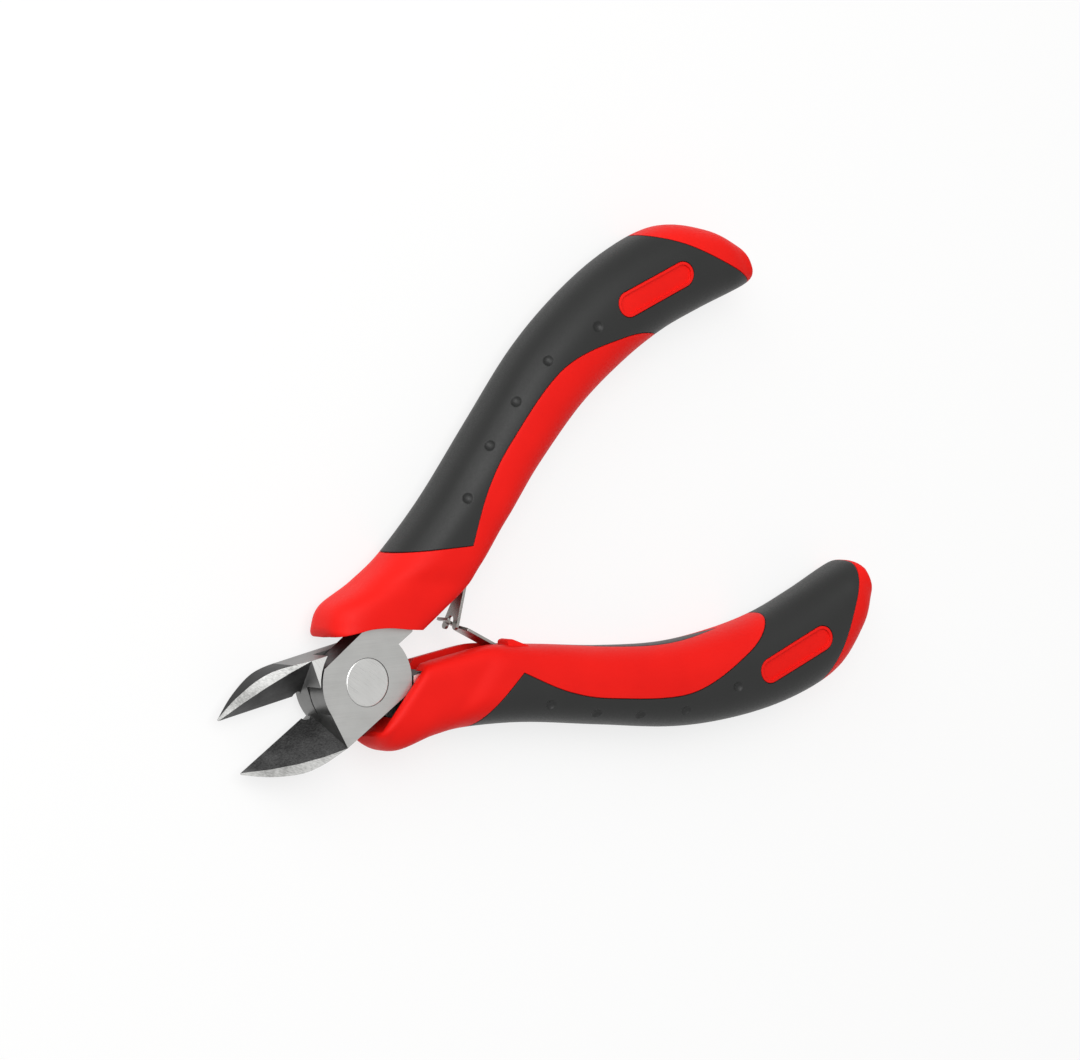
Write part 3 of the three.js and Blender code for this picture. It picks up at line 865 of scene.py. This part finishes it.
    def setback(self) -> list[Vector]:
        """Draws the outline of what the mouth stands back by, over the half's own plate.

        Returns:
            The points of the outline.
        """
        low = -self.mouth_radius
        (start, _), (end, _) = self.mouth_edge[0], self.mouth_edge[-1]
        return outline(self.mouth_edge, self.mouth_steps) + outline([(end, low), (start, low)])

    def channel(self) -> list[Vector]:
        """Draws the outline of the slot that the spring leaf folds into.

        Returns:
            The points of the outline.
        """
        root = Vector((*self.leaf_root, 0.0))
        opened, closed = (math.radians(a) for a in (self.leaf_open_deg, self.leaf_closed_deg))
        above = root + self.channel_floor * Vector((math.sin(closed), -math.cos(closed), 0.0))
        below = root + self.channel_floor * Vector((-math.sin(opened), math.cos(opened), 0.0))
        far = below + self.mouth_depth * Vector((math.cos(opened), math.sin(opened), 0.0))
        mouth = outline([(0.0, self.channel_top), (0.0, -self.mouth_depth)])
        return [above, *mouth, far, below]

    def inlay_lens(self, gap: float) -> bmesh.types.BMesh:
        """Makes the lens of the inlay as a cutter along Y.

        Args:
            gap: How much wider the cutter is on each side.

        Returns:
            The cutter.
        """
        half_width, middle = self.inlay_width / 2 + gap, (self.inlay_start + self.inlay_end) / 2
        reach = (self.inlay_end - self.inlay_start) / 2 + gap
        radius = (reach * reach + half_width * half_width) / (2 * half_width)
        swing = math.degrees(math.asin(reach / radius))
        steps, rise = self.inlay_steps, half_width - radius
        top = arc((middle, rise), radius, 90 - swing, 90 + swing, steps)
        low = arc((middle, -rise), radius, 270 - swing, 270 + swing, steps)
        bm = prism(top[:-1] + low[:-1], -self.inlay_reach, 0.0)
        bmesh.ops.rotate(bm, matrix=Matrix.Rotation(math.pi / 2, 3, "X"), verts=bm.verts)
        return bm

    def inner_edge(self, x: float) -> float:
        """Finds the height of the grip's inner edge over the middle line.

        Args:
            x: The place along the tool.

        Returns:
            The height there.
        """
        edge = [s.inner for s in self.stations()]
        after = next(i for i, (px, _) in enumerate(edge) if px > x)
        (ax, ay), (bx, by) = edge[after - 1], edge[after]
        return ay + (by - ay) * (x - ax) / (bx - ax)

    def bump(self) -> bmesh.types.BMesh:
        """Makes the ramp that stands up behind the root of the leaf.

        Returns:
            The ramp, with its crest rounded.
        """
        x, y = self.leaf_root[0] - self.bump_setback, self.leaf_root[1]
        crest = self.inner_edge(x) - self.bump_height
        ramp = [(x - self.bump_crest, y), (x - self.bump_crest / 2, crest)]
        ramp += [(x + self.bump_crest / 2, crest), (x + self.bump_length, y)]
        bm = prism(outline(ramp), *self.bump_sides)
        edges = [e for e in bm.edges if max(v.co.y for v in e.verts) < y]
        bmesh.ops.bevel(
            bm,
            geom=edges,
            offset=self.bump_edge,
            offset_type="OFFSET",
            segments=3,
            profile=0.5,
            affect="EDGES",
            material=-1,
        )
        return bm

    def under(self, inset: float) -> Object:
        """Returns what lies deeper in the grip than an inset, as a cutter."""
        return solid("under", self.skin(inset))

    def core(self, name: str) -> Object:
        """Builds the hard core.

        Args:
            name: The name of the piece.

        Returns:
            The core, in the closed drawing.
        """
        core = solid(name, self.skin())
        slot = through("slot", self.cover_region(0.0))
        carve(slot, self.under(self.cover_thickness + self.parting_gap))
        carve(slot, through("pill", capsule(self.pill_ends, self.pill_radius)))
        carve(core, slot)
        field = through("field", capsule(self.pill_ends, self.pill_radius - self.pill_rim))
        carve(field, self.under(self.pill_recess))
        carve(core, field)
        carve(core, solid("bump", self.bump()), Carving.JOIN)
        pocket = solid("pocket", self.inlay_lens(self.parting_gap))
        carve(pocket, self.under(self.inlay_thickness + self.parting_gap))
        carve(core, pocket)
        for hollow in self.pockets():
            carve(core, solid("hollow", hollow))
        return core

    def cover(self, name: str) -> Object:
        """Builds the soft cover with its dimples.

        Args:
            name: The name of the piece.

        Returns:
            The cover, in the closed drawing.
        """
        skin = self.skin()
        tree = BVHTree.FromBMesh(skin)
        cover = solid(name, skin)
        carve(cover, through("region", self.cover_region(self.parting_gap)), Carving.MEET)
        carve(cover, self.under(self.cover_thickness))
        opening = capsule(self.pill_ends, self.pill_radius + self.parting_gap)
        carve(cover, through("opening", opening))
        ball = (self.dimple_radius**2 + self.dimple_depth**2) / (2 * self.dimple_depth)
        for x, y in self.dimples:
            for face in (1.0, -1.0):
                above, inward = Vector((x, y, face * PAST)), Vector((0.0, 0.0, -face))
                hit, normal, _, _ = tree.ray_cast(above, inward)
                pit = bmesh.new()
                bmesh.ops.create_icosphere(pit, subdivisions=3, radius=ball)
                centre = hit + normal * (ball - self.dimple_depth)
                bmesh.ops.translate(pit, vec=centre, verts=pit.verts)
                carve(cover, solid("pit", pit))
        return cover

    def inlay(self, name: str) -> Object:
        """Builds the soft inlay.

        Args:
            name: The name of the piece.

        Returns:
            The inlay, in the closed drawing.
        """
        inlay = solid(name, self.inlay_lens(0.0))
        carve(inlay, solid("skin", self.skin()), Carving.MEET)
        carve(inlay, self.under(self.inlay_thickness))
        return inlay

    def dress(self, place: Placement) -> None:
        """Builds both grips, puts them in their places and gives them their finishes.

        Args:
            place: Where the halves lie.
        """
        red, black = HARD_RED.material(), SOFT_BLACK.material()
        builders = (
            ("grip_core", self.core, red, "grip_red"),
            ("grip_cover", self.cover, black, "grip_black"),
            ("grip_inlay", self.inlay, black, "grip_black"),
        )
        for kind, build, material, slot in builders:
            master = build(kind)
            for half, body in ((Half.UPPER, "front_half"), (Half.LOWER, "rear_half")):
                node = f"{half.name.lower()}_{kind}"
                piece = master.copy()
                piece.data = master.data.copy()
                piece.name = piece.data.name = f"{node}_moulded"
                bpy.context.scene.collection.objects.link(piece)
                place.settle(piece, half)
                finish_mesh(piece, [material], self.sharp_deg)
                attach(piece, body)
                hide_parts(node)
                LOG.info("%s: %d faces", piece.name, len(piece.data.polygons))
            discard(master)


@dataclass(frozen=True)
class Lever:
    """A forged lever, ground on its faces and jaw.

    The limits that tell its faces apart are lengths, or parts of a face's unit normal.
    """

    node: str
    body: str
    half: Half
    head_half: float = 4.0
    joint_radius: float = 7.5
    heel_x: float = -8.2
    flat_start_deg: float = 127.0
    flat_end_deg: float = 58.0
    edge_radius: float = 0.1
    face_slack: float = 0.05
    heel_slack: float = 0.2
    rim_slack: float = 0.6
    level: float = 0.995
    upright: float = 0.2
    sloped: float = 0.3
    facing_back: float = -0.5
    facing_tip: float = -0.6
    crescent_limits: Point = (-0.2, 0.25)

    def face_kind(self, centre: Vector, normal: Vector) -> LeverFace:
        """Tells how a face was finished, or that it takes the dark oxide steel as painted shade.

        Args:
            centre: The face's centre in the closed drawing.
            normal: The way that it faces there.

        Returns:
            The kind of face.
        """
        if abs(normal.z) > self.level and abs(abs(centre.z) - self.head_half) < self.face_slack:
            on_jaw = self.half is Half.LOWER and centre.z > 0
            return LeverFace.PATCH if on_jaw else LeverFace.PLATE
        if centre.x < self.heel_x + self.heel_slack:
            if normal.z > self.sloped:
                to_tip, to_edge = self.crescent_limits
                on_crescent = normal.x < to_tip and normal.y < to_edge
                return LeverFace.CRESCENT if on_crescent else LeverFace.BEVEL
            if normal.y < self.facing_back:
                return LeverFace.BACK
            # The heel's wall that faces the tip takes the dark oxide steel as painted shade in the
            # throat
            return LeverFace.BEVEL if normal.x < self.facing_tip else LeverFace.RIM
        if abs(normal.z) < self.upright and centre.xy.length < self.joint_radius + self.rim_slack:
            # The flat of the joint under the grip's mouth takes the dark oxide steel as painted
            # shade
            turn = math.degrees(math.atan2(centre.y, centre.x))
            on_flat = self.flat_end_deg < turn < self.flat_start_deg
            return LeverFace.BEVEL if on_flat else LeverFace.RIM
        if centre.x < 0:
            return LeverFace.BACK if normal.y < self.facing_back else LeverFace.RIM
        return LeverFace.FORGED

    def dress(
        self, place: Placement, source: Object, finishes: dict[LeverFace, Material]
    ) -> Object:
        """Copies the lever's solid, breaks its edges and gives each face its finish.

        Args:
            place: Where the halves lie.
            source: The lever's node.
            finishes: The material of each kind of face.

        Returns:
            The dressed lever.
        """
        bm = welded(source)
        back = place.matrix(self.half, turned_over=False).inverted()
        turn = back.to_3x3()
        kinds = list(finishes)
        for face in bm.faces:
            normal = (turn @ face.normal).normalized()
            kind = self.face_kind(back @ face.calc_center_median(), normal)
            face.material_index = kinds.index(kind)
        piece = solid(f"{self.node}_ground", bm)
        finish_mesh(piece, list(finishes.values()), STEEL_SHARP_DEG)
        break_edges(piece, self.edge_radius)
        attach(piece, self.body)
        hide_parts(self.node)
        return piece


def break_edges(piece: Object, radius: float) -> None:
    """Rounds the sharp edges of a steel piece.

    Args:
        piece: The piece.
        radius: The radius of its edges.
    """
    bevel = piece.modifiers.new("broken_edges", "BEVEL")
    bevel.limit_method = "ANGLE"
    bevel.angle_limit = math.radians(STEEL_SHARP_DEG)
    bevel.width = radius * MM
    bevel.segments = 2
    bevel.profile = 0.5
    bevel.material = -1
    bevel.harden_normals = True


@dataclass(frozen=True)
class Rivet:
    """The flush rivet: a shank with a countersunk head at each end."""

    head_radius: float = 3.5
    shank_radius: float = 2.4
    half: float = 4.0
    sink: float = 1.2
    edge: float = 0.12
    weld: float = 0.0001
    sharp_deg: float = 18.0
    steps: int = 96

    def dress(self, place: Placement) -> Object:
        """Turns the rivet from its profile and faces it off.

        Args:
            place: Where the halves lie.

        Returns:
            The rivet.
        """
        upper = [
            (0.0, self.half),
            (self.head_radius - self.edge, self.half),
            (self.head_radius, self.half - self.edge / 2),
            (self.shank_radius, self.half - self.sink),
        ]
        profile = upper + [(r, -z) for r, z in reversed(upper)]
        bm = bmesh.new()
        verts = [bm.verts.new((r, 0.0, z)) for r, z in profile]
        edges = [bm.edges.new(pair) for pair in zip(verts, verts[1:])]
        bmesh.ops.spin(
            bm,
            geom=verts + edges,
            cent=(0.0, 0.0, 0.0),
            axis=(0.0, 0.0, 1.0),
            angle=math.tau,
            steps=self.steps,
            use_merge=True,
        )
        bmesh.ops.remove_doubles(bm, verts=bm.verts, dist=self.weld)
        bmesh.ops.recalc_face_normals(bm, faces=bm.faces)
        piece = solid("pivot_rivet_faced", bm)
        place.settle(piece, Half.UPPER)
        finish_mesh(piece, [RIVET_STEEL.material()], self.sharp_deg)
        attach(piece, "front_half")
        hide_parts("pivot_rivet")
        return piece


@dataclass(frozen=True)
class ReturnSpring:
    """The two hooked leaves of the return spring and their pins."""

    edge_radius: float = 0.06

    def dress(self, nodes: dict[str, Object]) -> None:
        """Breaks the edges of the leaves and gives them and their pins their finish.

        Args:
            nodes: The nodes of the frame.
        """
        steel = SPRING_STEEL.material()
        for place in ("upper", "lower"):
            leaf = solid(f"{place}_leaf_spring_rolled", welded(nodes[f"{place}_leaf_spring"]))
            finish_mesh(leaf, [steel], STEEL_SHARP_DEG)
            break_edges(leaf, self.edge_radius)
            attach(leaf, f"{place}_leaf")
            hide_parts(f"{place}_leaf_spring")
            LOG.info("%s: %d faces", leaf.name, len(leaf.data.polygons))
            pin = nodes[f"{place}_spring_pin"]
            pin.data.materials.clear()
            pin.data.materials.append(steel)


@dataclass(frozen=True)
class Lamp:
    """A square lamp: where it hangs, its width in metres and its power in watts."""

    name: str
    place: Place
    size: float
    power: float

    def hang(self, aim: Place) -> None:
        """Hangs the lamp so that it faces a point.

        Args:
            aim: The point.
        """
        light = bpy.data.lights.new(self.name, "AREA")
        light.size, light.energy = self.size, self.power
        thing = bpy.data.objects.new(self.name, light)
        thing.location = self.place
        ray = Vector(aim) - Vector(self.place)
        thing.rotation_euler = ray.to_track_quat("-Z", "Y").to_euler()
        bpy.context.scene.collection.objects.link(thing)


@dataclass(frozen=True)
class Studio:
    """A pale floor, soft light from large lamps and the camera at the photograph's angle."""

    floor_size: float = 3.0
    floor_colour: str = "#F8F8F7"
    floor_roughness: float = 0.9
    shadow_share: float = 0.25
    world_light: float = 0.4
    lamps: tuple[Lamp, ...] = (
        Lamp("key", (-0.12, 0.3, 0.72), size=0.55, power=3.9),
        Lamp("side", (-0.3, 0.64, 0.36), size=0.5, power=2.0),
    )
    aim: Place = (0.0, 0.0, 0.006)
    camera_place: Place = (-0.3199729, 0.1817993, 0.5672435)
    camera_turn_deg: Place = (-1.76728, -33.32331, -25.2896)
    lens_mm: float = 150.93
    sensor_mm: float = 36.0
    clip_m: Point = (0.01, 10.0)

    def floor(self) -> None:
        """Lays the floor, which looks white to the camera and still shows a soft shadow."""
        bm = bmesh.new()
        bmesh.ops.create_grid(bm, x_segments=1, y_segments=1, size=self.floor_size / 2)
        floor = solid("studio_floor", bm)
        material, tree, shader = new_material("white_card")
        shader.inputs["Base Color"].default_value = linear(self.floor_colour)
        shader.inputs["Roughness"].default_value = self.floor_roughness
        shader.inputs["Specular IOR Level"].default_value = 0.0
        white = add_node(tree, "ShaderNodeEmission", {"Color": WHITE, "Strength": 1.0})
        amount = add_node(
            tree,
            "ShaderNodeMath",
            {0: self.seen(tree), 1: 1.0 - self.shadow_share},
            operation="MULTIPLY",
        )
        mixed = add_node(
            tree,
            "ShaderNodeMixShader",
            {0: amount.outputs[0], 1: shader.outputs[0], 2: white.outputs[0]},
        )
        tree.links.new(mixed.outputs[0], tree.nodes["Material Output"].inputs["Surface"])
        floor.data.materials.append(material)

    @staticmethod
    def seen(tree: NodeTree) -> NodeSocket:
        """Tells what the camera, a reflection or a clear piece shows from what only lights.

        Args:
            tree: The node tree that gets the nodes.

        Returns:
            A socket that is 1 for what is shown.
        """
        path = add_node(tree, "ShaderNodeLightPath")
        first = add_node(
            tree,
            "ShaderNodeMath",
            {0: path.outputs["Is Camera Ray"], 1: path.outputs["Is Glossy Ray"]},
            operation="MAXIMUM",
        )
        both = add_node(
            tree,
            "ShaderNodeMath",
            {0: first.outputs[0], 1: path.outputs["Is Transmission Ray"]},
            operation="MAXIMUM",
        )
        return both.outputs[0]

    def world(self) -> None:
        """Sets a white surround that lights the tool evenly."""
        world = bpy.data.worlds.new("studio")
        bpy.context.scene.world = world
        world.use_nodes = True
        tree = world.node_tree
        strength = add_node(
            tree,
            "ShaderNodeMapRange",
            {"Value": self.seen(tree), "To Min": self.world_light, "To Max": 1.0},
        )
        background = tree.nodes["Background"]
        background.inputs["Color"].default_value = WHITE
        tree.links.new(strength.outputs["Result"], background.inputs["Strength"])

    def camera(self) -> None:
        """Sets the camera at the photograph's angle."""
        data = bpy.data.cameras.new("camera")
        data.lens, data.sensor_width = self.lens_mm, self.sensor_mm
        data.clip_start, data.clip_end = self.clip_m
        thing = bpy.data.objects.new("camera", data)
        thing.location = self.camera_place
        thing.rotation_euler = Euler([math.radians(a) for a in self.camera_turn_deg], "XYZ")
        bpy.context.scene.collection.objects.link(thing)
        bpy.context.scene.camera = thing

    def build(self) -> None:
        """Builds the studio."""
        bpy.context.scene.view_settings.view_transform = "Standard"
        self.floor()
        self.world()
        for lamp in self.lamps:
            lamp.hang(self.aim)
        self.camera()


def main() -> None:
    """Builds the dressed tool and its studio, and logs the faces of its pieces."""
    logging.basicConfig(level=logging.INFO)
    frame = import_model()
    place = Placement.from_frame(frame["joints"])
    finishes = {kind: steel.material() for kind, steel in LEVER_FINISHES.items()}
    levers = (
        Lever("front_lever", "front_half", Half.UPPER),
        Lever("rear_lever", "rear_half", Half.LOWER),
    )
    for lever in levers:
        piece = lever.dress(place, frame["nodes"][lever.node], finishes)
        LOG.info("%s: %d faces", piece.name, len(piece.data.polygons))
    LOG.info("%s turned", Rivet().dress(place).name)
    ReturnSpring().dress(frame["nodes"])
    Grip().dress(place)
    Studio().build()


if __name__ == "__main__":
    main()
